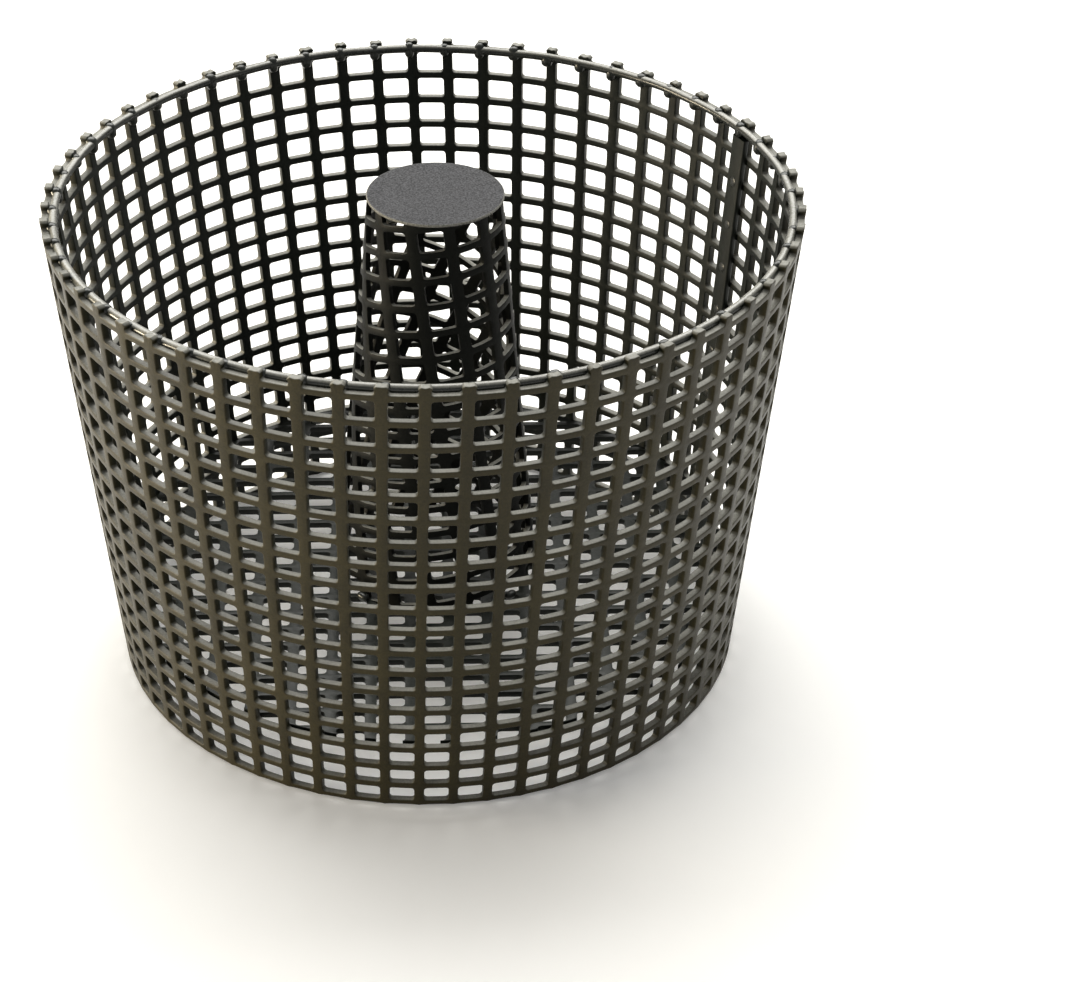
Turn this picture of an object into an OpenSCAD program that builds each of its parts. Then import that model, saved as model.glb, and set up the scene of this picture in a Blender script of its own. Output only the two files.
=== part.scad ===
// Fuel basket with an air chimney: perforated sheet wall, raised perforated base, capped cone.
// The basket opens upward along +Z and stands on its lower edge at Z = 0. The front is -Y.

/* [Basket] */
// Outer diameter at the rim
rim_d = 240; // [210:1:290]
// Outer diameter at the foot
foot_d = 206.5; // [170:0.5:210]
// Height of the wall at the middle of the rim
wall_h = 162.3; // [120:0.1:200]
// Thickness of the coated sheet
sheet_t = 2.4; // [1.8:0.1:3]
// How far the cut rim is out of square, higher at the front
rim_tilt = 0.2; // [0:0.05:1]

/* [Perforation] */
// Spacing of the uprights around the rim
col_pitch = 12.6; // [10:0.1:16]
// Spacing of the hole rows at the rim
row_pitch_top = 9.2; // [7.5:0.1:12]
// Spacing of the hole rows at the foot
row_pitch_foot = 7.35; // [6.5:0.05:12]
// Width of an upright at the rim
upright_w = 3.4; // [2.4:0.1:4.5]
// Height of a horizontal bar
bar_h = 2; // [1.4:0.1:3]
// Turn of the columns for each millimetre of height
lean_per_mm = 0.013; // [0:0.001:0.03]
// Direction of a hole column at the foot
column_phase = 2.75; // [0:0.05:6]

/* [Rim ring] */
// Diameter of the wire ring inside the rim
ring_d = 2.8; // [1.8:0.1:3.2]
// Distance from the rim down to the middle of the ring
ring_drop = 2.5; // [1.9:0.1:3.5]
// Length of the weld under the ring at each upright
ring_weld_l = 3; // [2:0.5:4]

/* [Wall seam] */
// Direction of the seam
seam_angle = 26; // [0:1:90]
// Width of the lap strip
seam_w = 6; // [4:0.5:8]
// Number of spot welds on the seam
seam_weld_n = 9; // [4:1:12]
// Diameter of a spot weld
spot_d = 3; // [2:0.5:4]
// Height of a spot weld
spot_h = 0.5; // [0.3:0.1:0.8]

/* [Base] */
// Height of the top face of the base
base_z = 25; // [18:0.5:40]
// Spacing of the base holes along Y
base_row_pitch = 9; // [7:0.1:12]
// Solid margin around the base
base_margin = 2.5; // [2:0.5:5]
// Number of tack welds around the base
base_weld_n = 8; // [4:1:12]

/* [Chimney] */
// Outer diameter of the chimney at its foot
chimney_foot_d = 67.6; // [56:0.2:84]
// Outer diameter of the chimney under its cap
chimney_top_d = 42.4; // [34:0.2:50]
// Diameter of the cap
cap_d = 43.6; // [38:0.2:56]
// Thickness of the cap
cap_t = 1; // [0.6:0.1:3]
// Height of the cap above the middle of the rim
cap_above_rim = 0; // [-20:1:10]
// Distance of the chimney from the middle, to the right
chimney_shift = 2.5; // [0:0.1:5]
// Distance of the cap from the chimney's axis, to the right
cap_shift = 0.5; // [0:0.1:1.5]
// Spacing of the chimney holes across
chimney_col_pitch = 12.4; // [10:0.1:16]
// Spacing of the chimney holes along its height
chimney_row_pitch = 8.8; // [7.5:0.1:12]
// Distance from the chimney seam edge to the first column of holes
chimney_first_col = 9.3; // [8.6:0.1:12]
// Distance that the hole rows lie further down than whole row spacings
chimney_row_shift = 2; // [0:0.1:8]
// Direction of the chimney seam, from the front round to the right
chimney_seam_angle = 89; // [45:1:135]
// Number of tack welds at the chimney foot and under the cap
chimney_weld_n = 4; // [3:1:6]

/* [Fits] */
// Gap between the base and the wall, and between sheets that lie on each other
sheet_gap = 0.1; // [0.05:0.05:0.3]
// Radius of a tack weld bead
bead_r = 1.8; // [1.2:0.1:2.4]

/* [Hidden] */
$fn = 72;
coat = [0.16, 0.15, 0.12];
weld_colour = [0.3, 0.3, 0.29];
cap_colour = [0.28, 0.28, 0.3];

// Wall: a frustum whose outer radius grows with height
rim_r = rim_d / 2;
foot_r = foot_d / 2;
taper = (rim_r - foot_r) / wall_h;
wall_angle = atan(taper);
skin = sheet_t / cos(wall_angle);
function wall_out(z) = foot_r + taper * z;
function wall_in(z) = wall_out(z) - skin;
rim_rise = tan(rim_tilt) * rim_r;
wall_top = wall_h + rim_rise + sheet_t;
cut_reach = 2 * sheet_t;

// Hole grid of the wall: the row spacing changes evenly from the foot to the rim
col_n = round(PI * rim_d / col_pitch);
col_step = 360 / col_n;
hole_angle = col_step - upright_w / rim_r * 180 / PI;
mean_pitch = (row_pitch_top + row_pitch_foot) / 2;
row_n = floor((wall_h - bar_h - ring_drop / 2) / mean_pitch);
pitch_growth = (row_pitch_top - row_pitch_foot) / row_n;
function bar_z(row) = bar_h + row * row_pitch_foot + pitch_growth * row * row / 2;

// The columns are not quite evenly spaced: how far they lag, in columns, by the share of a turn
column_lag = [[0, -0.19], [0.056, -0.15], [0.061, 0], [0.48, 0], [0.58, -0.3], [0.83, -0.3], [1, -0.19]];
function lagging(col) = col + lookup(col / col_n - floor(col / col_n), column_lag);
function column_angle(col, z) = column_phase + lagging(col) * col_step + lean_per_mm * z;

// Rim ring
ring_z = wall_h - ring_drop;
ring_r = wall_in(ring_z) - sheet_gap - ring_d / 2;
function ring_height(angle) = ring_z - ring_r * sin(angle) * tan(rim_tilt);

// Seam: the upright nearest to the wanted direction at the foot
seam_col = round((seam_angle - column_phase) / col_step - 0.5) + 0.5;
function seam_point(z, depth) =
    let (a = column_angle(seam_col, z), r = wall_in(z) - depth)
    [r * cos(a), r * sin(a), z];
seam_depth = sheet_gap + seam_w * seam_w / 8 / wall_in(0) + seam_w / 2 * sin(lean_per_mm * wall_h / 2);
seam_foot = seam_point(0, seam_depth);
seam_head = seam_point(ring_z - rim_rise - ring_d / 2 - ring_weld_l - sheet_gap, seam_depth);
seam_length = norm(seam_head - seam_foot);
seam_axis = (seam_head - seam_foot) / seam_length;
seam_mid = column_angle(seam_col, wall_h / 2);
seam_side = cross(seam_axis, [cos(seam_mid), sin(seam_mid), 0]);
seam_across = seam_side / norm(seam_side);
seam_out = cross(seam_across, seam_axis);

// Base
base_t = sheet_t;
base_r = wall_in(base_z - base_t) - sheet_gap;
base_hole = [col_pitch - upright_w, base_row_pitch - bar_h];
base_cols = ceil(base_r / col_pitch);
base_rows = ceil(base_r / base_row_pitch);

// Chimney: a cone rolled from a flat sector whose holes run square to the edge at the seam
cap_z = wall_h + cap_above_rim - cap_t;
cone_foot_z = base_z + sheet_gap;
cone_top_z = cap_z - sheet_gap;
cone_h = cone_top_z - cone_foot_z;
cone_angle = atan((chimney_foot_d - chimney_top_d) / 2 / cone_h);
cone_skin = sheet_t / cos(cone_angle);
apex_z = cone_top_z + chimney_top_d / 2 / tan(cone_angle);
slant_top = chimney_top_d / 2 / sin(cone_angle);
slant_foot = chimney_foot_d / 2 / sin(cone_angle);
chimney_hole = [chimney_col_pitch - upright_w, chimney_row_pitch - bar_h];
chimney_edge = norm(chimney_hole) / 2 + bar_h;
sector = 360 * sin(cone_angle);
chimney_cols = ceil(slant_foot * sin(sector) / chimney_col_pitch);
cone_cut = cone_skin + 2 * cut_reach;
first_row = floor((slant_top * cos(sector) - chimney_row_shift) / chimney_row_pitch);
last_row = ceil(slant_foot / chimney_row_pitch);
function cone_out(z) = (apex_z - z) * tan(cone_angle);

// Chimney seam: a strip inside the cone, clear of the curve of the narrowest part
lap_sag = seam_w * seam_w / 4 / (chimney_top_d - 2 * cone_skin);
lap_length = cone_h / cos(cone_angle) - 2 * bar_h;

// A block of the wall's ring between two heights, for a hole centred on an angle
module ring_block(angle, spread, low, high) {
    rotate([0, 0, angle - spread / 2])
        rotate_extrude(angle = spread)
            translate([wall_in(low) - cut_reach, low])
                square([wall_out(high) - wall_in(low) + 2 * cut_reach, high - low]);
}

module wall_band(low, high) {
    rotate_extrude()
        polygon([
            [wall_in(low), low],
            [wall_out(low), low],
            [wall_out(high), high],
            [wall_in(high), high]
        ]);
}

module above_rim() {
    translate([0, 0, wall_h])
        rotate([-rim_tilt, 0, 0])
            translate([-rim_d, -rim_d, 0])
                cube([2 * rim_d, 2 * rim_d, rim_d]);
}

// The wall is a stack of bands, each from the middle of one horizontal bar to the middle of the next
module hole_band(row) {
    low = row == 0 ? 0 : bar_z(row) - bar_h / 2;
    difference() {
        wall_band(low, bar_z(row + 1) - bar_h / 2);
        for (col = [0 : col_n - 1])
            ring_block(
                column_angle(col, bar_z(row)), hole_angle,
                bar_z(row), bar_z(row + 1) - bar_h
            );
    }
}

// The topmost band is cut through its holes, so each upright ends in an open stub
module rim_band() {
    difference() {
        wall_band(bar_z(row_n) - bar_h / 2, wall_top);
        for (col = [0 : col_n - 1])
            ring_block(column_angle(col, bar_z(row_n)), hole_angle, bar_z(row_n), wall_top + cut_reach);
        above_rim();
    }
}

module basket_wall() {
    color(coat) {
        for (row = [0 : row_n - 1])
            hole_band(row);
        rim_band();
    }
}

// Places its children on the seam line: X across, Y outward, Z along the strip
module on_seam() {
    multmatrix([
        [seam_across[0], seam_out[0], seam_axis[0], seam_foot[0]],
        [seam_across[1], seam_out[1], seam_axis[1], seam_foot[1]],
        [seam_across[2], seam_out[2], seam_axis[2], seam_foot[2]],
        [0, 0, 0, 1]
    ]) children();
}

module wall_seam() {
    color(coat)
        on_seam()
            translate([-seam_w / 2, -sheet_t, bar_h])
                cube([seam_w, sheet_t, seam_length - bar_h]);
}

module seam_welds() {
    step = (seam_length - 2 * bar_h) / seam_weld_n;
    color(weld_colour)
        for (i = [0 : seam_weld_n - 1])
            on_seam()
                translate([0, -sheet_t, bar_h + step * (i + 0.5)])
                    rotate([90, 0, 0])
                        cylinder(d = spot_d, h = spot_h);
}

module rim_ring() {
    color(coat)
        translate([0, 0, ring_z])
            rotate([-rim_tilt, 0, 0])
                rotate_extrude()
                    translate([ring_r, 0])
                        circle(d = ring_d);
}

module ring_welds() {
    color(weld_colour)
        for (col = [0 : col_n - 1])
            let (
                angle = column_angle(col + 0.5, ring_z),
                top = ring_height(angle) - ring_d / 2
            )
                rotate([0, 0, angle])
                    translate([wall_in(top - ring_weld_l) - sheet_gap - ring_d / 2, 0, top - ring_weld_l])
                        cylinder(d = ring_d, h = ring_weld_l);
}

// Room for the wall seam and its welds at the edge of the base
module seam_notch() {
    depth = sheet_t + spot_h + sheet_gap;
    on_seam()
        translate([-seam_w / 2 - sheet_gap, -depth, 0])
            cube([seam_w + 2 * sheet_gap, depth + sheet_t, seam_length]);
}

module base_grate() {
    color(coat)
        difference() {
            translate([0, 0, base_z - base_t])
                cylinder(r = base_r, h = base_t);
            seam_notch();
            for (i = [-base_cols : base_cols], j = [-base_rows : base_rows])
                let (
                    x = i * col_pitch,
                    y = j * base_row_pitch,
                    reach = norm([abs(x) + base_hole[0] / 2, abs(y) + base_hole[1] / 2])
                )
                    if (reach < base_r - base_margin)
                        translate([x - base_hole[0] / 2, y - base_hole[1] / 2, base_z - base_t - cut_reach])
                            cube([base_hole[0], base_hole[1], base_t + 2 * cut_reach]);
        }
}

module base_welds() {
    color(weld_colour)
        for (i = [0 : base_weld_n - 1])
            rotate([0, 0, seam_mid + (i + 0.5) * 360 / base_weld_n])
                translate([base_r - bead_r, 0, base_z - base_t - bead_r])
                    sphere(r = bead_r);
}

// Places its children on the chimney's axis
module on_chimney() {
    translate([chimney_shift, 0, 0]) children();
}

module cone_shell() {
    rotate_extrude()
        polygon([
            [cone_out(cone_foot_z) - cone_skin, cone_foot_z],
            [cone_out(cone_foot_z), cone_foot_z],
            [cone_out(cone_top_z), cone_top_z],
            [cone_out(cone_top_z) - cone_skin, cone_top_z]
        ]);
}

// A hole of the flat sheet, at a distance in from the seam edge and a distance from the apex
module cone_hole(inward, along) {
    slant = norm([inward, along]);
    fan = atan2(inward, along);
    spare = asin(chimney_edge / slant);
    if (slant + chimney_edge < slant_foot && slant - chimney_edge > slant_top
        && fan > spare && fan + spare < sector)
        rotate([0, 0, 270 + chimney_seam_angle - fan / sin(cone_angle)])
            translate([slant * sin(cone_angle), 0, apex_z - slant * cos(cone_angle)])
                rotate([0, -cone_angle, 0])
                    rotate([-fan, 0, 0])
                        cube([cone_cut, chimney_hole[0], chimney_hole[1]], center = true);
}

module chimney() {
    color(coat)
        on_chimney()
            difference() {
                cone_shell();
                for (i = [0 : chimney_cols - 1], j = [first_row : last_row])
                    cone_hole(
                        i * chimney_col_pitch + chimney_first_col,
                        j * chimney_row_pitch + chimney_row_shift
                    );
            }
}

module chimney_seam() {
    inner = cone_out(cone_foot_z) - cone_skin;
    color(coat)
        on_chimney()
            rotate([0, 0, 270 + chimney_seam_angle])
                translate([inner - lap_sag - sheet_gap, 0, cone_foot_z])
                    rotate([0, -cone_angle, 0])
                        translate([-sheet_t, -seam_w / 2, bar_h])
                            cube([sheet_t, seam_w, lap_length]);
}

module chimney_welds() {
    color(weld_colour)
        on_chimney()
            for (i = [0 : chimney_weld_n - 1])
                rotate([0, 0, (i + 0.5) * 360 / chimney_weld_n])
                    translate([cone_out(cone_foot_z) + bead_r, 0, cone_foot_z + bead_r])
                        sphere(r = bead_r);
}

module chimney_cap() {
    color(cap_colour)
        on_chimney()
            translate([cap_shift, 0, cap_z])
                cylinder(d = cap_d, h = cap_t);
}

module cap_welds() {
    color(weld_colour)
        on_chimney()
            for (i = [0 : chimney_weld_n - 1])
                rotate([0, 0, (i + 0.5) * 360 / chimney_weld_n])
                    translate([cone_out(cone_top_z) - cone_skin - bead_r, 0, cap_z - bead_r - sheet_gap])
                        sphere(r = bead_r);
}

basket_wall();
wall_seam();
seam_welds();
rim_ring();
ring_welds();
base_grate();
base_welds();
chimney();
chimney_seam();
chimney_welds();
chimney_cap();
cap_welds();
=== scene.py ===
import math
import bpy
import numpy as np
from mathutils import Matrix, Vector


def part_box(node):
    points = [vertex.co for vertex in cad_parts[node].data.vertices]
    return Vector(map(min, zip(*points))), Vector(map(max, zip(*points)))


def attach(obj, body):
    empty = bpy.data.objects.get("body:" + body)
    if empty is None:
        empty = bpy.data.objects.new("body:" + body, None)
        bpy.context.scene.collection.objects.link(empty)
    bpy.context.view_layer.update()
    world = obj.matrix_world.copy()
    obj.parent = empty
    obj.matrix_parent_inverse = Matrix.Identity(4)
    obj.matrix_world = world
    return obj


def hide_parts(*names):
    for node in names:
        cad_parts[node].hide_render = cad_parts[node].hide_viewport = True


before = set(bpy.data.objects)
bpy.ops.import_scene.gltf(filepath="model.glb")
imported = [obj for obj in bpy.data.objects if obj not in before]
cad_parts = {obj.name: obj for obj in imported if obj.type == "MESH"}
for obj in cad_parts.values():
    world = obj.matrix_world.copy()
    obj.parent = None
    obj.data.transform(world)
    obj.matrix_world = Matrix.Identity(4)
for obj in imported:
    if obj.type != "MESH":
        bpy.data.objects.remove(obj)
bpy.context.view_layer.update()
mm = 0.001
rng = np.random.default_rng(24)
print("frame loaded")


# sizes taken from the frame

def nodePoints(node):
    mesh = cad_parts[node].data
    points = np.empty(len(mesh.vertices) * 3)
    mesh.vertices.foreach_get("co", points)
    return points.reshape(-1, 3)


def radiusNear(node, height, nearby=0.6 * mm):
    # widest distance from the upright axis among the points close to one height
    points = nodePoints(node)
    near = points[np.abs(points[:, 2] - height) < nearby]
    return float(np.hypot(near[:, 0], near[:, 1]).max())


wallLow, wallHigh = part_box("basket_wall")
ringLow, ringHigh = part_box("rim_ring")
baseLow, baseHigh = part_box("base_grate")
coneLow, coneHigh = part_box("chimney")
capLow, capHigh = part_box("chimney_cap")

wallFootRadius = radiusNear("basket_wall", wallLow.z)
wallTopRadius = (wallHigh.x - wallLow.x) / 2
wallTop = wallHigh.z
wallTaper = (wallTopRadius - wallFootRadius) / (wallTop - wallLow.z)
coneX = (coneLow.x + coneHigh.x) / 2
coneFootRadius = (coneHigh.x - coneLow.x) / 2
capX = (capHigh.x + capLow.x) / 2
capRadius = (capHigh.x - capLow.x) / 2


# mesh helpers

def weld(points, faces, stepsPerMetre=1e7):
    # points at one place become one, and faces that lose a corner turn into triangles or vanish
    keys = np.round(points * stepsPerMetre).astype(np.int64)
    _, first, back = np.unique(keys, axis=0, return_index=True, return_inverse=True)
    faces = back.reshape(-1)[faces]
    after = np.roll(faces, -1, axis=1)
    same = faces == after
    quads = faces[same.sum(axis=1) == 0]
    once = same.sum(axis=1) == 1
    kept = ~same[once]
    triangles = faces[once][kept].reshape(-1, 3)
    return points[first], quads, triangles, first


def realFaces(points, faces, least=1e-10):
    # faces whose diagonals span some area
    a, b, c = points[faces[:, 0]], points[faces[:, 1]], points[faces[:, 2]]
    d = points[faces[:, -1]]
    span = np.cross(c - a, d - b) if faces.shape[1] == 4 else np.cross(b - a, c - a)
    return faces[np.linalg.norm(span, axis=1) / 2 > least]


def newPiece(name, points, faces, material, sharp=50.0, layers=None):
    # edges that turn by more than sharp degrees stay crisp; layers are named values from 0 to 1
    # for each point, which the material reads
    points, quads, triangles, first = weld(points, faces)
    quads, triangles = realFaces(points, quads), realFaces(points, triangles)
    used, order = np.unique(np.concatenate([quads.ravel(), triangles.ravel()]), return_inverse=True)
    points = points[used]
    corners = order.astype(np.int32)
    totals = np.concatenate([np.full(len(quads), 4), np.full(len(triangles), 3)]).astype(np.int32)
    starts = np.concatenate([[0], np.cumsum(totals)[:-1]]).astype(np.int32)
    mesh = bpy.data.meshes.new(name)
    mesh.vertices.add(len(points))
    mesh.vertices.foreach_set("co", points.astype(np.float32).ravel())
    mesh.loops.add(len(corners))
    mesh.loops.foreach_set("vertex_index", corners)
    mesh.polygons.add(len(totals))
    mesh.polygons.foreach_set("loop_start", starts)
    mesh.polygons.foreach_set("use_smooth", np.ones(len(totals), dtype=bool))
    mesh.update(calc_edges=True)
    mesh.validate()
    mesh.set_sharp_from_angle(angle=math.radians(sharp))
    mesh.materials.append(material)
    for layerName, values in (layers or {}).items():
        layer = mesh.attributes.new(layerName, "FLOAT", "POINT")
        layer.data.foreach_set("value", values[first][used].astype(np.float32))
    piece = bpy.data.objects.new(name, mesh)
    bpy.context.collection.objects.link(piece)
    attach(piece, "root")
    return piece


def loopFaces(cells, loops, around, closed=True):
    # quads between neighbouring loops of every cell, turning with the loop
    index = np.arange(cells * loops * around).reshape(cells, loops, around)
    ahead = np.roll(index, -1, axis=2)
    if not closed:
        index, ahead = index[:, :, :-1], ahead[:, :, :-1]
    quads = np.stack([index[:, :-1], ahead[:, :-1], ahead[:, 1:], index[:, 1:]], axis=-1)
    return quads.reshape(-1, 4)


# outline of one hole and of the cell round it

holeShape = {
    # where the mates of a corner's points lie on the cell border, from the middle of a side to its end
    "nearFraction": 0.45,
    "farFraction": 0.76,
}


def outlineWalk(near, far):
    # one turn from the middle of the right side: for each point the corner it belongs to,
    # the direction out of that corner's centre, and its mate on the square cell border
    corner, direction, border = [], [], []
    fractions = [near, far, 1.0]
    steps = 2 * (len(fractions) - 1)
    for quarter in range(4):
        turn = quarter * math.pi / 2
        c, s = round(math.cos(turn)), round(math.sin(turn))
        corner.append((c, s))
        direction.append((c, s))
        border.append((c, s))
        climb = [(1.0, f) for f in fractions] + [(f, 1.0) for f in fractions[-2::-1]]
        for i, (u, v) in enumerate(climb):
            angle = turn + i / steps * math.pi / 2
            corner.append((c - s, s + c))
            direction.append((math.cos(angle), math.sin(angle)))
            border.append((c * u - s * v, s * u + c * v))
    return np.array(corner, float), np.array(direction), np.array(border)


walkCorner, walkDirection, walkBorder = outlineWalk(holeShape["nearFraction"], holeShape["farFraction"])
walkLength = len(walkCorner)


def edgeProfile(thickness, rounding, steps):
    # pairs of (distance back from the hole's edge, depth below the outer face)
    a = np.linspace(0, math.pi / 2, steps + 1)
    back = rounding * (1 - np.sin(a))
    depth = rounding * (1 - np.cos(a))
    return (np.concatenate([back, back[::-1]]),
            np.concatenate([depth, thickness - depth[::-1]]))


# wall

wall = {
    "columns": 60,
    "rows": 19,
    "phase": math.radians(2.75),
    "lean": math.radians(13.0),  # turn of the columns per metre of height
    "firstBarTop": 2 * mm,
    "rowPitchTop": 9.2 * mm,
    "rowPitchFoot": 7.35 * mm,
    "barHeight": 2.15 * mm,
    "uprightShare": 0.28,
    "thickness": 2.45 * mm,
    "inset": 0.2 * mm,
    "rounding": 0.34 * mm,
    "roundingSteps": 3,
    "holeCorner": 1.0 * mm,
    "unevenness": 0.09 * mm,
    "footBump": 0.35 * mm,
    "footBumpPower": 3,
    # painted highlight on the upward cut ledges: how strong it is, and how much stronger at the back than at
    # the front
    "highlightShare": 0.76,
    "highlightBackShare": 0.24,
    # how far the columns lag behind even spacing, in columns, by their place round the wall
    "lagPlaces": (0, 3.36, 3.64, 29, 35, 50, 60),
    "lagColumns": (-0.19, -0.15, 0, 0, -0.34, -0.34, -0.19),
}

# the open stubs that stand on the wall's top bar
stub = {
    "top": 162.05 * mm,
    "tilt": math.tan(math.radians(0.18)),
    "corner": 0.55 * mm,
    "cornerLoss": 0.5,  # share of the edge rounding that the corner gives up
    "flare": 0.5 * mm,
    "flareSpan": (0.2, 1.0),
    "fillet": 0.9 * mm,
    "spread": 1.2,  # how fast the top widens from its middle
    "dip": 0.8,  # how deep the middle of the top lies, in flares, and how fast it climbs
    "dipClimb": 0.9,
    "cornerFall": 0.5,
    "waist": 0.15,
    "swell": 0.12,
    "swellHeight": 2 * mm,
    "rise": 0.35 * mm,
    "riseSpan": (-1, 0.4),
    "widen": 0.3 * mm,
    "widenSpan": (-0.5, 1.0),
    # painted highlight share on the top bar between the stubs
    "highlightBar": 0.8,
}


def wallRadius(height):
    return wallFootRadius - wall["inset"] + wallTaper * height


def barTop(row):
    growth = (wall["rowPitchTop"] - wall["rowPitchFoot"]) / wall["rows"]
    return wall["firstBarTop"] + row * wall["rowPitchFoot"] + growth * row * row / 2


def columnAngle(column, height):
    # every hole column climbs the wall at a slight slant, and its place may be between two columns
    lag = np.interp(np.mod(column, wall["columns"]), wall["lagPlaces"], wall["lagColumns"])
    return wall["phase"] + (column + lag) * 2 * math.pi / wall["columns"] + wall["lean"] * height


def onWall(column, along, height, depth):
    # along is a distance to the right of the column's middle on the wall's outer face
    radius = wallRadius(height)
    angle = columnAngle(column + along / radius * wall["columns"] / (2 * math.pi), height)
    inner = radius - depth
    return np.stack([inner * np.cos(angle), inner * np.sin(angle), height + 0 * angle], axis=-1)


def layersOf(points, depth, upward):
    # how far out of the sheet a point lies, and how strongly it carries the painted highlight of an upward
    # ledge
    shape = points.shape[:-1]
    share = np.concatenate([[1.0], 1 - depth / wall["thickness"], [0.0]])
    outside = np.broadcast_to(share[None, :, None], shape)
    within = np.minimum(depth, wall["thickness"] - depth) / wall["rounding"]
    edge = np.concatenate([[0.0], np.clip(within, 0, 1), [0.0]])
    facing = np.clip(np.atleast_2d(upward), 0, 1)
    paintedHighlight = np.broadcast_to(edge[None, :, None] * facing[:, None], shape)
    return {"outside": outside.ravel(), "paintedHighlight": paintedHighlight.ravel()}


def wallHoles(columns):
    # closed loops round every hole: cell border outside, the rounded edge, cell border inside
    rows = np.arange(wall["rows"])
    column, row = [g.ravel() for g in np.meshgrid(columns, rows, indexing="ij")]
    low = barTop(row)
    high = barTop(row + 1) - wall["barHeight"]
    middle = (low + high) / 2
    pitch = 2 * math.pi * wallRadius(middle) / wall["columns"]
    wobble = wallWobble[column % wall["columns"], row]
    halfWidth = pitch * (1 - wall["uprightShare"]) / 2 + wobble[:, 0]
    halfHeight = (high - low) / 2 + wobble[:, 1]
    corner = wall["holeCorner"] + wobble[:, 2]
    back, depth = edgeProfile(wall["thickness"], wall["rounding"], wall["roundingSteps"])
    shape = (len(column), len(back), walkLength)
    reach = corner[:, None, None] + back[None, :, None]
    along = (walkCorner[:, 0] * (halfWidth - corner)[:, None, None]
             + walkDirection[:, 0] * reach) + wobble[:, 3][:, None, None]
    height = (middle[:, None, None] + walkCorner[:, 1] * (halfHeight - corner)[:, None, None]
              + walkDirection[:, 1] * reach)
    edge = onWall(column[:, None, None], along, height,
                  np.broadcast_to(depth[None, :, None], shape))
    cellLow = barTop(row) - wall["barHeight"] / 2
    cellHigh = barTop(row + 1) - wall["barHeight"] / 2
    borderHeight = ((cellLow + cellHigh)[:, None] + walkBorder[:, 1] * (cellHigh - cellLow)[:, None]) / 2
    borderAlong = walkBorder[:, 0] * math.pi / wall["columns"] * wallRadius(borderHeight)
    outer = onWall(column[:, None], borderAlong, borderHeight, 0.0)
    inner = onWall(column[:, None], borderAlong, borderHeight, wall["thickness"])
    points = np.concatenate([outer[:, None], edge, inner[:, None]], axis=1)
    faces = loopFaces(len(column), len(back) + 2, walkLength)
    # painted highlight on the upward hole ledges, stronger towards the back of the wall
    share = wall["highlightShare"] + wall["highlightBackShare"] * np.sin(columnAngle(column, middle))
    upward = -share[:, None] * walkDirection[:, 1]
    return points.reshape(-1, 3), faces, layersOf(points, depth, upward)


def borderFractions():
    near, far = holeShape["nearFraction"], holeShape["farFraction"]
    return np.array([-1, -far, -near, 0, near, far, 1])


def wallFoot(columns):
    # the lower edge of the bottom bar, rounded, with a small bump under each upright
    fraction = borderFractions()
    low = wall["footBump"] * (1 - np.abs(fraction) ** wall["footBumpPower"])
    back, depth = edgeProfile(wall["thickness"], wall["rounding"], wall["roundingSteps"])
    middle = np.full((1, len(fraction)), barTop(0) - wall["barHeight"] / 2)
    height = np.concatenate([middle, low[None, :] + back[:, None], middle])
    depth = np.concatenate([[0.0], depth, [wall["thickness"]]])
    along = fraction * math.pi / wall["columns"] * wallRadius(height)
    points = onWall(columns[:, None, None], along[None], height[None], depth[None, :, None])
    faces = loopFaces(len(columns), len(depth), len(fraction), closed=False)[:, ::-1]
    return points.reshape(-1, 3), faces, layersOf(points, depth[1:-1], np.zeros(len(fraction)))


def rimWalk():
    # one open notch from the middle of a stub's top to the middle of the next stub's top:
    # (part of the shape, place in it, index of its mate on the border below)
    left = [("top", 0.0, 0), ("top", 0.5, 0), ("corner", 0.0, 0), ("corner", 0.33, 0), ("corner", 0.67, 1),
            ("corner", 1.0, 1), ("side", 0.5, 1), ("fillet", 0.0, 1), ("fillet", 0.33, 2),
            ("fillet", 0.67, 2), ("fillet", 1.0, 2)]
    last = len(borderFractions()) - 1
    right = [(part, place, last - mate) for part, place, mate in left[::-1]]
    return left, [("bar", 0.0, 3)], right


def stubEdge(part, place, top, half, base, flare, rounded, halfPitch):
    # one point of a stub's outline: its distance aside from the stub's middle and its height
    turn = place * math.pi / 2
    corner = stub["corner"] - stub["cornerLoss"] * rounded
    bar = base - rounded
    if part == "top":
        dip = stub["dip"] - stub["dipClimb"] * place
        return (half - corner) * place * stub["spread"], top - flare * dip
    if part == "corner":
        return (half - corner + (corner + flare) * math.sin(turn) ** 2,
                top - corner * (1 - math.cos(turn)) - flare * turn * stub["cornerFall"])
    if part == "side":
        return half - stub["waist"] * flare, (top - corner - flare + bar + stub["fillet"]) / 2
    if part == "fillet":
        return half + stub["fillet"] * (1 - math.cos(turn)), bar + stub["fillet"] * (1 - math.sin(turn))
    return halfPitch, bar


def stubHighlight(part, place):
    # painted highlight on the stub's outline: how far each stretch faces up
    turn = place * math.pi / 2
    return {"top": 1.0, "corner": math.cos(turn), "side": 0.0,
            "fillet": math.sin(turn), "bar": stub["highlightBar"]}[part]


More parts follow.
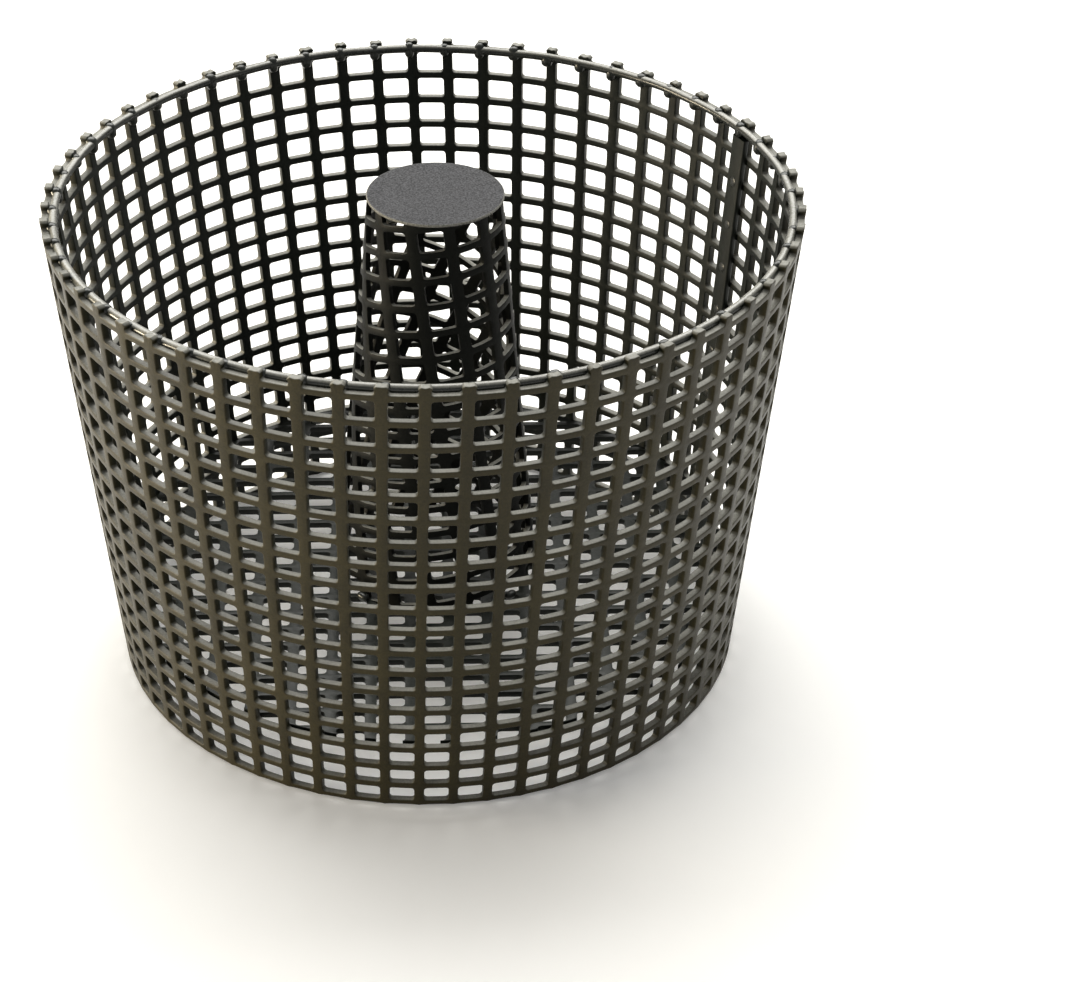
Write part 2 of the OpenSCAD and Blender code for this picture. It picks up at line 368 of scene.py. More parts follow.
def wallRim(columns):
    # the open top row: stubs with rounded heads that stand on the top bar
    left, bar, right = rimWalk()
    walk = left + bar + right
    sign = np.array([-1.0] * len(left) + [0.0] + [1.0] * len(right))
    mates = np.array([mate for _, _, mate in walk])
    back, depth = edgeProfile(wall["thickness"], wall["rounding"], wall["roundingSteps"])
    column = columns[:, None, None]
    base = barTop(wall["rows"])
    pitch = 2 * math.pi * wallRadius(stub["top"]) / wall["columns"]
    rounded = back[None, :, None]
    number = (np.where(sign < 0, column, column + 1) % wall["columns"]).astype(int)
    angle = columnAngle(number - 0.5, stub["top"])
    top = stub["top"] - stub["tilt"] * wallTopRadius * np.sin(angle) + stubRise[number] - rounded
    half = pitch * wall["uprightShare"] / 2 + stubWiden[number] - rounded
    along = np.zeros(top.shape)
    height = np.zeros(top.shape)
    for i, (part, place, _) in enumerate(walk):
        s = slice(i, i + 1)
        aside, z = stubEdge(part, place, top[..., s], half[..., s], base,
                            stubFlare[number][..., s], rounded, pitch / 2)
        along[..., s] = (pitch / 2 - aside) * sign[i]
        height[..., s] = z
    # the coat is thickest on the stub heads
    thickness = wall["thickness"]
    swell = np.clip((height - base - stub["fillet"]) / stub["swellHeight"], 0, 1) ** 2 * stub["swell"]
    deep = thickness / 2 + (depth[None, :, None] - thickness / 2) * (1 + swell)
    along *= wallRadius(height) / wallRadius(stub["top"])
    edge = onWall(column, along, height, deep)
    middle = base - wall["barHeight"] / 2
    borderAlong = borderFractions()[mates][None] * math.pi / wall["columns"] * wallRadius(middle)
    borderHeight = np.full((1, len(walk)), middle)
    outer = onWall(columns[:, None], borderAlong, borderHeight, 0.0)
    inner = onWall(columns[:, None], borderAlong, borderHeight, thickness)
    points = np.concatenate([outer[:, None], edge, inner[:, None]], axis=1)
    faces = loopFaces(len(columns), len(back) + 2, len(walk), closed=False)
    upward = np.array([stubHighlight(part, place) for part, place, _ in walk])
    return points.reshape(-1, 3), faces, layersOf(points, depth, upward)


wallWobble = rng.uniform(-1, 1, (wall["columns"], wall["rows"], 4)) * wall["unevenness"]
stubRise = rng.uniform(*stub["riseSpan"], wall["columns"]) * stub["rise"]
stubWiden = rng.uniform(*stub["widenSpan"], wall["columns"]) * stub["widen"]
stubFlare = rng.uniform(*stub["flareSpan"], wall["columns"]) * stub["flare"]


def joined(*parts):
    points, faces, offset = [], [], 0
    for p, f, _ in parts:
        points.append(p)
        faces.append(f + offset)
        offset += len(p)
    layers = {key: np.concatenate([part[2][key] for part in parts]) for key in parts[0][2]}
    return np.concatenate(points), np.concatenate(faces), layers


def makeWall(material):
    names = ["wall_back_right", "wall_back_left", "wall_front_left", "wall_front_right"]
    share = wall["columns"] // len(names)
    for i, name in enumerate(names):
        columns = np.arange(i * share, (i + 1) * share)
        points, faces, layers = joined(wallHoles(columns), wallFoot(columns), wallRim(columns))
        piece = newPiece(name, points, faces, material, layers=layers)
        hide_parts("basket_wall")


# rods, beads and turned pieces

def ringTube(centreRadius, turns=720, around=14):
    # a round section carried along a circle that leans and wavers a little
    a = np.linspace(0, 2 * math.pi, turns, endpoint=False)[:, None]
    b = np.linspace(0, 2 * math.pi, around, endpoint=False)[None, :]
    sway = sum(size * np.sin(count * a + start) for count, size, start in ring["waves"])
    r = centreRadius + ring["swayAside"] * sway + ring["rodRadius"] * np.cos(b)
    z = ringHeight(a) + sway + ring["rodRadius"] * np.sin(b)
    points = np.stack([r * np.cos(a), r * np.sin(a), z], axis=-1).reshape(-1, 3)
    # painted highlight along the top of the wire
    wireHighlight = (np.sin(b) + 0 * a - ring["highlightFrom"]) / ring["highlightOver"]
    index = np.arange(turns * around).reshape(turns, around)
    nextTurn, nextAround = np.roll(index, -1, axis=0), np.roll(index, -1, axis=1)
    faces = np.stack([index, nextTurn, np.roll(nextTurn, -1, axis=1), nextAround], axis=-1)
    return points, faces.reshape(-1, 4), {"paintedHighlight": np.clip(wireHighlight, 0, 1).ravel()}


def beads(places, right, up, out, half, lumps, squareness=0.8, around=10, levels=6):
    # rounded lumps: a ball stretched along three directions, with its sides a little squared
    def squared(v):
        return np.sign(v) * np.abs(v) ** squareness

    a = np.linspace(0, 2 * math.pi, around, endpoint=False)
    e = np.linspace(-math.pi / 2, math.pi / 2, levels + 1)
    ball = np.stack([squared(np.cos(e))[:, None] * squared(np.cos(a))[None],
                     squared(np.cos(e))[:, None] * squared(np.sin(a))[None],
                     squared(np.sin(e))[:, None] * np.ones(around)[None]], axis=-1)
    count = len(places)
    ball = ball[None] * (1 + lumps * rng.uniform(-1, 1, (count, 1, 1, 1)))
    size = half[:, None, None, :] * ball
    points = (places[:, None, None] + size[..., :1] * right[:, None, None]
              + size[..., 1:2] * out[:, None, None] + size[..., 2:] * up[:, None, None])
    index = np.arange(count * (levels + 1) * around).reshape(count, levels + 1, around)
    ahead = np.roll(index, -1, axis=2)
    faces = np.stack([index[:, :-1], ahead[:, :-1], ahead[:, 1:], index[:, 1:]], axis=-1)
    return points.reshape(-1, 3), faces.reshape(-1, 4)


def aroundAxis(angles, radii, heights, tilt=0.0):
    # places on a circle with their sideways, upward and outward directions
    flat = np.zeros_like(angles)
    out = np.stack([np.cos(angles), np.sin(angles), flat], axis=-1)
    right = np.stack([-np.sin(angles), np.cos(angles), flat], axis=-1)
    up = np.stack([np.cos(angles) * math.sin(tilt), np.sin(angles) * math.sin(tilt),
                   flat + math.cos(tilt)], axis=-1)
    places = np.stack([radii * np.cos(angles), radii * np.sin(angles), heights + flat], axis=-1)
    return places, right, up, out


def turned(profile, centre, turns=128):
    # a closed outline of (radius, height) pairs turned about an upright axis
    a = np.linspace(0, 2 * math.pi, turns, endpoint=False)[:, None]
    r, z = profile[:, 0][None], profile[:, 1][None]
    points = np.stack([centre + r * np.cos(a), r * np.sin(a), z + 0 * a], axis=-1)
    index = np.arange(turns * len(profile)).reshape(turns, len(profile))
    ahead = np.roll(index, -1, axis=0)
    faces = np.stack([index[:, :-1], ahead[:, :-1], ahead[:, 1:], index[:, 1:]], axis=-1)
    return points.reshape(-1, 3), faces.reshape(-1, 4)


def addBeads(name, node, points, faces, material):
    welds = newPiece(name, points, faces, material)
    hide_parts(node)


tack = {
    # the small welds of base, chimney and cap
    "stretch": (1.5, 0.9, 0.9),
    "lumps": 0.1,
    "squareness": 0.9,
    "around": 16,
    "levels": 10,
}


def addTacks(name, node, count, centreX, radius, height, size, stretch, material):
    # tack welds evenly round an upright axis
    angles = (np.arange(count) + 0.5) * 2 * math.pi / count
    places, right, up, out = aroundAxis(angles, radius + 0 * angles, height)
    places = places + np.array([centreX, 0, 0])
    half = np.full((count, 3), size) * stretch
    points, faces = beads(places, right, up, out, half, tack["lumps"], tack["squareness"],
                          tack["around"], tack["levels"])
    addBeads(name, node, points, faces, material)


ring = {
    "rodRadius": 1.42 * mm,
    "middle": 159.42 * mm,
    "tilt": 0.25 * mm,
    # slow wavering: (waves in a turn, size, start)
    "waves": ((7, 0.1 * mm, 1), (17, 0.06 * mm, 0), (31, 0.04 * mm, 2)),
    "swayAside": 0.5,
    # painted highlight on the top of the wire, where its upward slope is more than this
    "highlightFrom": 0.55,
    "highlightOver": 0.3,
    "beadHalf": np.array([2.0, 1.75, 2.5]) * mm,
    "beadSpread": 0.15,
    "beadLumps": 0.05,
    "beadDrop": 0.6 * mm,
    "beadUneven": 0.35 * mm,
    "beadAside": 0.9 * mm,
    "beadOut": 0.2 * mm,
}


def ringHeight(angle):
    return ring["middle"] - ring["tilt"] * np.sin(angle)


def makeRing(material, beadMaterial):
    centreRadius = (ringHigh.x - ringLow.x) / 2 - ring["rodRadius"]
    points, faces, layers = ringTube(centreRadius)
    rod = newPiece("rim_ring_rod", points, faces, material, layers=layers)
    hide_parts("rim_ring")
    count = wall["columns"]
    angles = columnAngle(np.arange(count) + 0.5, ring["middle"]) + ring["beadAside"] / centreRadius
    heights = ringHeight(angles) - ring["beadDrop"] + rng.uniform(-1, 1, count) * ring["beadUneven"]
    place = aroundAxis(angles, centreRadius + ring["beadOut"] + 0 * angles, heights, math.atan(wallTaper))
    half = ring["beadHalf"] * (1 + rng.uniform(-1, 1, (count, 3)) * ring["beadSpread"])
    points, faces = beads(*place, half, ring["beadLumps"])
    addBeads("ring_weld_beads", "ring_welds", points, faces, beadMaterial)


# lap seam of the wall

seam = {
    "column": 3.5,
    "halfWidth": 2.9 * mm,
    "thickness": 2.0 * mm,
    "rounding": 0.55 * mm,
    "gap": 0.02 * mm,
    "low": 1.2 * mm,
    "belowRing": 1.4 * mm,
    "stations": 90,
    # the strip bows in and out a little along its length
    "bow": 0.06 * mm,
    "bowLength": 9 * mm,
    "spots": 9,
    "spotRadius": 1.7 * mm,
    "spotHeight": 0.3 * mm,
    "spotLumps": 0.08,
}


def roundedSection(halfWidth, thickness, rounding, steps=3):
    # a rectangle with round corners, from the middle outward, as (along, depth) pairs
    pairs = []
    for cornerAlong, cornerDepth, start in [(1, 1, 0), (-1, 1, 1), (-1, 0, 2), (1, 0, 3)]:
        for i in range(steps + 1):
            a = (start + i / steps) * math.pi / 2
            centreAlong = cornerAlong * (halfWidth - rounding)
            centreDepth = thickness - rounding if cornerDepth else rounding
            pairs.append((centreAlong + rounding * math.cos(a), centreDepth + rounding * math.sin(a)))
    return np.array(pairs)


def makeSeam(material, beadMaterial):
    section = roundedSection(seam["halfWidth"], seam["thickness"], seam["rounding"])
    ringUnder = float(ringHeight(columnAngle(seam["column"], stub["top"]))) - ring["rodRadius"]
    low, high = seam["low"], ringUnder - seam["belowRing"]
    height = np.linspace(low, high, seam["stations"])[:, None]
    bow = seam["bow"] * np.sin(height / seam["bowLength"])
    depth = wall["thickness"] + seam["gap"] + section[:, 1][None] + bow
    points = onWall(seam["column"], section[:, 0][None], height, depth)
    stations, around = points.shape[:2]
    index = np.arange(stations * around).reshape(stations, around)
    ahead = np.roll(index, -1, axis=1)
    faces = np.stack([index[:-1], index[1:], ahead[1:], ahead[:-1]], axis=-1).reshape(-1, 4)
    # each end is closed by quads between its two long sides
    ends = []
    for row, order in [(index[0], 1), (index[-1], -1)]:
        ends += [[row[i], row[i + 1], row[around - 2 - i], row[around - 1 - i]][::order]
                 for i in range(around // 2 - 1)]
    strip = newPiece("seam_strip", points.reshape(-1, 3), np.concatenate([faces, np.array(ends)]), material)
    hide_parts("wall_seam")
    heights = np.linspace(low, high, seam["spots"] + 2)[1:-1]
    radii = wallRadius(heights) - wall["thickness"] - seam["thickness"]
    place = aroundAxis(columnAngle(seam["column"], heights), radii, heights, math.atan(wallTaper))
    half = np.tile([seam["spotRadius"], seam["spotHeight"], seam["spotRadius"]], (len(heights), 1))
    points, faces = beads(*place, half, seam["spotLumps"], squareness=1.0, around=16, levels=8)
    addBeads("seam_spot_beads", "seam_welds", points, faces, beadMaterial)


# perforated flat sheet, cut to a shape and bent

def sheetCells(columns, rows, pitch, hole, corner, shift):
    # for every cell of a square hole pattern: its border and the round-cornered hole in it
    i, j = [g.ravel() for g in np.meshgrid(columns, rows, indexing="ij")]
    centre = np.stack([i * pitch[0] + shift[0], j * pitch[1] + shift[1]], axis=-1)[:, None]
    uneven = rng.uniform(-1, 1, (len(i), 1, 2)) * wall["unevenness"]
    half = np.array(hole) / 2 + uneven
    border = centre + walkBorder[None] * np.array(pitch) / 2
    outline = centre + walkCorner[None] * (half - corner) + walkDirection[None] * corner
    return np.stack([border, outline], axis=1), loopFaces(len(i), 2, walkLength)


def withinFaces(faces, clamped):
    # faces with every corner pushed back to the cut edge lie outside the sheet
    return faces[~clamped.ravel()[faces].all(axis=1)]


def finishSheet(piece, thickness, rounding, edgeMaterial=None, sharpest=48.0):
    # gives a bent surface its thickness, inward, and rounds edges that turn by more than sharpest degrees
    solid = piece.modifiers.new("thickness", "SOLIDIFY")
    if edgeMaterial:
        piece.data.materials.append(edgeMaterial)
        solid.material_offset_rim = 1
    solid.thickness = thickness
    solid.offset = -1
    soft = piece.modifiers.new("softEdges", "BEVEL")
    soft.width = rounding
    soft.segments = 2
    soft.limit_method = "ANGLE"
    soft.angle_limit = math.radians(sharpest)
    soft.use_clamp_overlap = True


base = {
    "pitch": (12.6 * mm, 9.0 * mm),
    "bar": (3.5 * mm, 2.1 * mm),
    "corner": 1.3 * mm,
    "thickness": 2.0 * mm,
    "rounding": 0.5 * mm,
    "edgeGap": 0.4 * mm,
    "welds": 8,
    "weldRadius": 1.7 * mm,
    "weldStretch": (1.6, 0.9, 0.9),
    "weldInward": 0.4 * mm,
    "weldBelow": 0.6 * mm,
}


def makeBase(material, beadMaterial):
    radius = (baseHigh.x - baseLow.x) / 2 - base["edgeGap"] - wall["inset"]
    pitch, bar = base["pitch"], base["bar"]
    columns, rows = [np.arange(-math.ceil(radius / step), math.ceil(radius / step) + 1) for step in pitch]
    hole = (pitch[0] - bar[0], pitch[1] - bar[1])
    flat, faces = sheetCells(columns, rows, pitch, hole, base["corner"], (0, 0))
    reach = np.linalg.norm(flat, axis=-1)
    clamped = reach > radius
    flat[clamped] *= (radius / reach[clamped])[:, None]
    points = np.concatenate([flat, np.full(flat.shape[:-1] + (1,), baseHigh.z)], axis=-1)
    sheet = newPiece("base_sheet", points.reshape(-1, 3), withinFaces(faces, clamped), material)
    finishSheet(sheet, base["thickness"], base["rounding"])
    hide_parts("base_grate")
    addTacks("base_tack_beads", "base_welds", base["welds"], 0.0, radius - base["weldInward"],
             baseHigh.z - base["thickness"] - base["weldBelow"], base["weldRadius"],
             base["weldStretch"], beadMaterial)


chimney = {
    "pitch": (12.35 * mm, 8.82 * mm),
    "bar": (3.7 * mm, 2.1 * mm),
    "corner": 1.1 * mm,
    "shift": (11.0 * mm, 6.3 * mm),
    "topRadius": 21.6 * mm,
    "topAside": 0.9 * mm,
    "thickness": 1.6 * mm,
    "rounding": 0.3 * mm,
    "seam": math.radians(270 + 89),
    "lap": 0.022,  # in radians of the flat sheet
    "clear": 0.1 * mm,
    "welds": 4,
    "weldRadius": 1.6 * mm,
    "weldOut": 0.7 * mm,
    "weldUp": 0.6 * mm,
    "capWeldIn": 0.9 * mm,
    "capWeldBelow": 0.8 * mm,
}


def makeChimney(material, edgeMaterial, beadMaterial):
    # the sheet is a sector of a ring about the cone's tip, and its holes run square to the seam edge
    halfAngle = math.atan((coneFootRadius - chimney["topRadius"]) / (coneHigh.z - coneLow.z))
    s = math.sin(halfAngle)
    slantTop, slantFoot = chimney["topRadius"] / s, coneFootRadius / s
    sector = 2 * math.pi * s + chimney["lap"]
    pitch, bar = chimney["pitch"], chimney["bar"]
    columns = np.arange(-2, math.ceil(slantFoot * math.sin(sector) / pitch[0]) + 2)
    firstRow = math.floor(slantTop * math.cos(sector) / pitch[1]) - 1
    rows = np.arange(firstRow, math.ceil(slantFoot / pitch[1]) + 1)
    hole = (pitch[0] - bar[0], pitch[1] - bar[1])
    flat, faces = sheetCells(columns, rows, pitch, hole, chimney["corner"], chimney["shift"])
    slant = np.linalg.norm(flat, axis=-1)
    fan = np.arctan2(flat[..., 0], flat[..., 1])
    clamped = (slant < slantTop) | (slant > slantFoot) | (fan < 0) | (fan > sector)
    slant = np.clip(slant, slantTop, slantFoot)
    fan = np.clip(fan, 0, sector)
    # the far end of the sheet slips inside the seam edge
    past = (fan - (sector - 2 * chimney["lap"])) / chimney["lap"]
    sink = 0.5 - 0.5 * np.cos(np.clip(past, 0, 1) * math.pi)
    r = slant * s - chimney["clear"] - sink * (chimney["thickness"] + chimney["clear"])
    angle = chimney["seam"] - fan / s
    height = coneHigh.z - (slant - slantTop) * math.cos(halfAngle)
    # the chimney stands a little out of upright
    aside = coneX + chimney["topAside"] * (height - coneLow.z) / (coneHigh.z - coneLow.z)
    points = np.stack([aside + r * np.cos(angle), r * np.sin(angle), height], axis=-1)
    sheet = newPiece("chimney_sheet", points.reshape(-1, 3), withinFaces(faces, clamped), material)
    finishSheet(sheet, chimney["thickness"], chimney["rounding"], edgeMaterial)
    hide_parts("chimney", "chimney_seam")
    topWeldRadius = slantTop * s - chimney["thickness"] - chimney["capWeldIn"]
    for name, node, x, radius, height in [
            ("chimney_tack_beads", "chimney_welds", coneX,
             coneFootRadius + chimney["weldOut"], coneLow.z + chimney["weldUp"]),
            ("cap_tack_beads", "cap_welds", coneX + chimney["topAside"],
             topWeldRadius, capLow.z - chimney["capWeldBelow"])]:
        addTacks(name, node, chimney["welds"], x, radius, height, chimney["weldRadius"],
                 tack["stretch"], beadMaterial)


cap = {
    "edge": 0.45 * mm,
    "edgeSteps": 4,
    "faceRings": 13,
    "dish": 0.12 * mm,
    "aside": 0.45 * mm,
}


def makeCap(material):
    # a flat disc with a rounded rim, very slightly dished
    e = cap["edge"]
    a = np.linspace(0, math.pi / 2, cap["edgeSteps"] + 1)
    face = np.linspace(0, capRadius - e, cap["faceRings"] + 1)[:-1]
    sag = cap["dish"] * (1 - (face / capRadius) ** 2)
    top = np.stack([face, capHigh.z - sag], axis=-1)
    upper = np.stack([capRadius - e + e * np.sin(a), capHigh.z - e + e * np.cos(a)], axis=-1)
    lower = np.stack([capRadius - e + e * np.cos(a), capLow.z + e - e * np.sin(a)], axis=-1)
    under = np.stack([face[::-1], np.full(len(face), capLow.z)], axis=-1)
    profile = np.concatenate([top, upper, lower, under])[::-1]
    points, faces = turned(profile, capX + cap["aside"])
    # painted highlight on the rim, as on the cut ledges, but not on its underside
    rim = np.clip((profile[:, 0] - capRadius + e) / e, 0, 1)
    rim = rim * np.clip((profile[:, 1] - capLow.z) / e, 0, 1)
    layers = {"paintedHighlight": np.tile(rim, len(points) // len(rim))}
    disc = newPiece("cap_disc", points, faces, material, layers=layers)
    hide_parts("chimney_cap")


# materials

coat = {
    # noise: (scale, detail, roughness)
    "drift": (60, 3, 0.6),
    "grain": (1400, 2, 0.6),
    "peel": (520, 3, 0.55),
    # ranges of the noises that are used in full
    "wide": (0.3, 0.7),
    "narrow": (0.35, 0.65),
    # how much drift and peel change the roughness, and peel and grain the height
    "driftRough": (0, 0.08),
    "peelRough": (-0.04, 0.04),
    "peelHeight": (0, 0.75),
    "grainHeight": (0, 0.25),
    "bumpDistance": 0.12 * mm,
    "clearRoughness": 0.28,
    # upward slopes over which a painted highlight comes up on a cut edge
    "highlightSlopeFrom": 0.5,
    "highlightSlopeTo": 0.9,
}


def socket(group, name, way, kind, value=None):
    made = group.interface.new_socket(name=name, in_out=way, socket_type=kind)
    if value is not None:
        made.default_value = value


def spread(nodes, links, source, spanFrom, spanTo):
    # maps one span of a value onto another
    m = nodes.new("ShaderNodeMapRange")
    m.inputs["From Min"].default_value, m.inputs["From Max"].default_value = spanFrom
    m.inputs["To Min"].default_value, m.inputs["To Max"].default_value = spanTo
    links.new(source, m.inputs["Value"])
    return m.outputs["Result"]


def colourMix(nodes, links, share, low, high):
    mix = nodes.new("ShaderNodeMix")
    mix.data_type = "RGBA"
    links.new(share, mix.inputs[0])
    links.new(low, mix.inputs[6])
    links.new(high, mix.inputs[7])
    return mix.outputs[2]


def buildCoatGroup():
    # uneven coat: slow colour drift, fine specks, and a height for the bump
    group = bpy.data.node_groups.new("coatGrain", "ShaderNodeTree")
    socket(group, "Scale", "INPUT", "NodeSocketFloat", 1.0)
    socket(group, "Base", "INPUT", "NodeSocketColor", (0.03, 0.03, 0.02, 1))
    socket(group, "Light", "INPUT", "NodeSocketColor", (0.06, 0.05, 0.03, 1))
    socket(group, "Drift", "INPUT", "NodeSocketFloat", 0.6)
    socket(group, "Color", "OUTPUT", "NodeSocketColor")
    socket(group, "Rough", "OUTPUT", "NodeSocketFloat")
    socket(group, "Height", "OUTPUT", "NodeSocketFloat")
    nodes, links = group.nodes, group.links
    given, made = nodes.new("NodeGroupInput"), nodes.new("NodeGroupOutput")
    place = nodes.new("ShaderNodeTexCoord")
    scaled = nodes.new("ShaderNodeVectorMath")
    scaled.operation = "SCALE"
    links.new(place.outputs["Object"], scaled.inputs[0])
    links.new(given.outputs["Scale"], scaled.inputs["Scale"])

    def noise(scale, detail, roughness):
        n = nodes.new("ShaderNodeTexNoise")
        n.inputs["Scale"].default_value = scale
        n.inputs["Detail"].default_value = detail
        n.inputs["Roughness"].default_value = roughness
        links.new(scaled.outputs[0], n.inputs["Vector"])
        return n.outputs["Fac"]

    def sumOf(a, b):
        m = nodes.new("ShaderNodeMath")
        m.operation = "ADD"
        links.new(a, m.inputs[0])
        links.new(b, m.inputs[1])
        return m.outputs[0]

    drift, grain, peel = noise(*coat["drift"]), noise(*coat["grain"]), noise(*coat["peel"])
    share = nodes.new("ShaderNodeMix")
    links.new(given.outputs["Drift"], share.inputs[0])
    links.new(spread(nodes, links, grain, coat["narrow"], (0, 1)), share.inputs[2])
    links.new(spread(nodes, links, drift, coat["wide"], (0, 1)), share.inputs[3])
    colour = colourMix(nodes, links, share.outputs[0], given.outputs["Base"], given.outputs["Light"])
    rough = sumOf(spread(nodes, links, drift, coat["wide"], coat["driftRough"]),
                  spread(nodes, links, peel, coat["wide"], coat["peelRough"]))
    height = sumOf(spread(nodes, links, peel, coat["wide"], coat["peelHeight"]),
                   spread(nodes, links, grain, coat["wide"], coat["grainHeight"]))
    links.new(colour, made.inputs["Color"])
    links.new(rough, made.inputs["Rough"])
    links.new(height, made.inputs["Height"])
    return group


coatGroup = buildCoatGroup()


def coatMaterial(name, inner, outer, roughness, specular, bump=0.35, clear=0.0,
                 grainScale=1.0, drift=0.6, slopeHighlight=0.0):
    # inner and outer are pairs of dark and light tones, mixed by the side of the sheet;
    # the cut ledges that face up get a painted highlight tone, by the paintedHighlight layer or, on a cut
    # edge, by their slope
    material = bpy.data.materials.new(name)
    material.use_nodes = True
    nodes, links = material.node_tree.nodes, material.node_tree.links
    shader = nodes["Principled BSDF"]
    shader.inputs["Coat Weight"].default_value = clear
    shader.inputs["Coat Roughness"].default_value = coat["clearRoughness"]
    shader.inputs["Specular IOR Level"].default_value = specular
    grains = []
    # the third pair is the painted highlight tone
    for dark, light in (inner, outer, (tone["highlightDark"], tone["highlightLight"])):
        grain = nodes.new("ShaderNodeGroup")
        grain.node_tree = coatGroup
        grain.inputs["Scale"].default_value = grainScale
        grain.inputs["Drift"].default_value = drift
        grain.inputs["Base"].default_value = (*dark, 1)
        grain.inputs["Light"].default_value = (*light, 1)
        grains.append(grain)
    colour = grains[0].outputs["Color"]
    for layerName, top in (("outside", grains[1]), ("paintedHighlight", grains[2])):
        if layerName == "paintedHighlight" and slopeHighlight:
            upward = nodes.new("ShaderNodeSeparateXYZ")
            links.new(nodes.new("ShaderNodeNewGeometry").outputs["Normal"], upward.inputs[0])
            share = spread(nodes, links, upward.outputs["Z"], (coat["highlightSlopeFrom"], coat["highlightSlopeTo"]), (0, slopeHighlight))
        else:
            layer = nodes.new("ShaderNodeAttribute")
            layer.attribute_name = layerName
            share = layer.outputs["Fac"]
        colour = colourMix(nodes, links, share, colour, top.outputs["Color"])
    links.new(colour, shader.inputs["Base Color"])
    rougher = nodes.new("ShaderNodeMath")
    rougher.operation = "ADD"
    rougher.inputs[1].default_value = roughness
    links.new(grains[0].outputs["Rough"], rougher.inputs[0])
    links.new(rougher.outputs[0], shader.inputs["Roughness"])
    relief = nodes.new("ShaderNodeBump")
    relief.inputs["Strength"].default_value = bump
    relief.inputs["Distance"].default_value = coat["bumpDistance"]
    links.new(grains[0].outputs["Height"], relief.inputs["Height"])
    links.new(relief.outputs["Normal"], shader.inputs["Normal"])
    return material


tone = {
    "innerDark": (0.0055, 0.0075, 0.0055),
    "innerLight": (0.0135, 0.0165, 0.0115),
    "deepDark": (0.0025, 0.003, 0.0022),
    "deepLight": (0.0065, 0.0075, 0.0055),
    "outerDark": (0.0155, 0.0126, 0.0035),
    "outerLight": (0.0365, 0.0295, 0.0095),
    # painted highlight tones for upward ledges, stub tops, the wire's top and the cap rim
    "highlightDark": (0.15, 0.147, 0.125),
    "highlightLight": (0.34, 0.335, 0.3),
    "capDark": (0.002, 0.002, 0.0025),
    "capLight": (0.086, 0.086, 0.093),
}

inner = (tone["innerDark"], tone["innerLight"])
outer = (tone["outerDark"], tone["outerLight"])
deep = (tone["deepDark"], tone["deepLight"])
plate = (tone["capDark"], tone["capLight"])
wallCoat = coatMaterial("wallCoat", inner, outer, roughness=0.38, specular=0.2)
innerCoat = coatMaterial("innerCoat", inner, inner, roughness=0.36, specular=0.25)
chimneyCoat = coatMaterial("chimneyCoat", deep, deep, roughness=0.46, specular=0.12)
# cut edges of the chimney, with a painted highlight where they face up
chimneyEdgeHighlight = coatMaterial("chimneyEdgeHighlight", deep, deep, roughness=0.46, specular=0.12, slopeHighlight=1.0)
ringCoat = coatMaterial("ringCoat", inner, inner, roughness=0.24, specular=0.6, bump=0.25, clear=0.2)
beadCoat = coatMaterial("beadCoat", inner, inner, roughness=0.28, specular=0.5, bump=0.5, clear=0.2)
capCoat = coatMaterial("capCoat", plate, plate, roughness=0.6, specular=0.2, bump=0.4,
                       grainScale=1.3, drift=0.1)
print("materials ready")

makeWall(wallCoat)
print("wall ready")
makeRing(ringCoat, beadCoat)
makeSeam(innerCoat, beadCoat)
print("ring and seam ready")
makeBase(innerCoat, beadCoat)
makeChimney(chimneyCoat, chimneyEdgeHighlight, beadCoat)
makeCap(capCoat)
print("base and chimney ready")


# stage, light and camera

stage = {
    "floorSize": 14.0,
    "floorColor": (0.93, 0.925, 0.91),
    "floorGlow": 0.15,
    "floorRoughness": 0.9,
    "floorSpecular": 0.1,
    "skyColor": (1.0, 0.995, 0.98),
    "skyStrength": 0.3,
}


def makeFloor():
    mesh = bpy.data.meshes.new("floor")
    h = stage["floorSize"]
    mesh.from_pydata([(-h, -h, 0), (h, -h, 0), (h, h, 0), (-h, h, 0)], [], [(0, 1, 2, 3)])
    floor = bpy.data.objects.new("floor", mesh)
    bpy.context.collection.objects.link(floor)
    material = bpy.data.materials.new("floorPaper")
    material.use_nodes = True
    shader = material.node_tree.nodes["Principled BSDF"]
    shader.inputs["Base Color"].default_value = (*stage["floorColor"], 1)
    shader.inputs["Roughness"].default_value = stage["floorRoughness"]
    shader.inputs["Specular IOR Level"].default_value = stage["floorSpecular"]
    shader.inputs["Emission Color"].default_value = (*stage["floorColor"], 1)
    shader.inputs["Emission Strength"].default_value = stage["floorGlow"]
    mesh.materials.append(material)


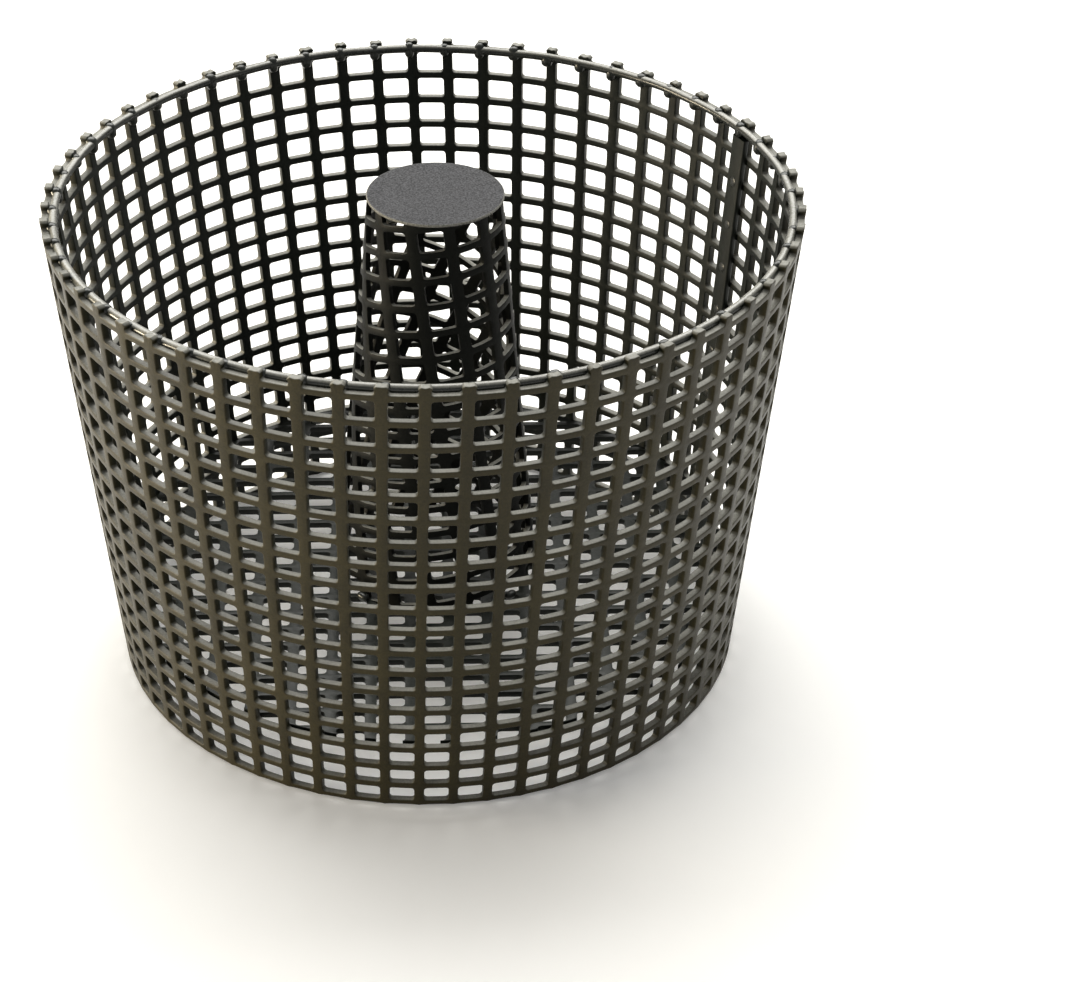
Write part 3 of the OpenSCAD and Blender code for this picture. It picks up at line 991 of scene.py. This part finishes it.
lamps = {
    # name: (place, size across, size up, watts, colour)
    "leftWindow": ((-1.65, -0.05, 0.12), 0.9, 0.22, 40.0, (1.0, 0.86, 0.62)),
    "highPanel": ((-0.1, 1.15, 1.65), 2.8, 1.9, 84.0, (1.0, 0.99, 0.95)),
}


def makeLamps():
    target = Vector((0, 0, wallTop / 2))
    for name, (place, across, upward, watts, colour) in lamps.items():
        light = bpy.data.lights.new(name, "AREA")
        light.shape = "RECTANGLE"
        light.size, light.size_y = across, upward
        light.energy = watts
        light.color = colour
        lamp = bpy.data.objects.new(name, light)
        lamp.location = place
        lamp.visible_camera = False
        lamp.rotation_euler = (target - Vector(place)).to_track_quat("-Z", "Y").to_euler()
        bpy.context.collection.objects.link(lamp)


def makeSky():
    world = bpy.data.worlds.new("studioSky")
    bpy.context.scene.world = world
    world.use_nodes = True
    back = world.node_tree.nodes["Background"]
    back.inputs["Color"].default_value = (*stage["skyColor"], 1)
    back.inputs["Strength"].default_value = stage["skyStrength"]


view = {
    "place": (0.0, -0.8535, 0.5981),
    "pitch": 32.65,
    "yaw": 2.506,
    "roll": 0.634,
    "lens": 101.21,
    "sensor": 36.0,
    "nearest": 0.01,
    "farthest": 60,
}


def makeCamera():
    pitch, yaw, roll = [math.radians(view[k]) for k in ("pitch", "yaw", "roll")]
    level = math.cos(pitch)
    forward = Vector((math.sin(yaw) * level, math.cos(yaw) * level, -math.sin(pitch)))
    right = Vector((math.cos(yaw), -math.sin(yaw), 0))
    up = right.cross(forward)
    tiltedRight = right * math.cos(roll) + up * math.sin(roll)
    tiltedUp = up * math.cos(roll) - right * math.sin(roll)
    data = bpy.data.cameras.new("camera")
    data.lens = view["lens"]
    data.sensor_width = view["sensor"]
    data.clip_start, data.clip_end = view["nearest"], view["farthest"]
    camera = bpy.data.objects.new("camera", data)
    turn = Matrix((tiltedRight, tiltedUp, -forward)).transposed()
    camera.matrix_world = Matrix.Translation(view["place"]) @ turn.to_4x4()
    bpy.context.collection.objects.link(camera)
    bpy.context.scene.camera = camera


makeFloor()
makeSky()
makeLamps()
makeCamera()
bpy.context.scene.view_settings.view_transform = "Standard"
print("stage ready")
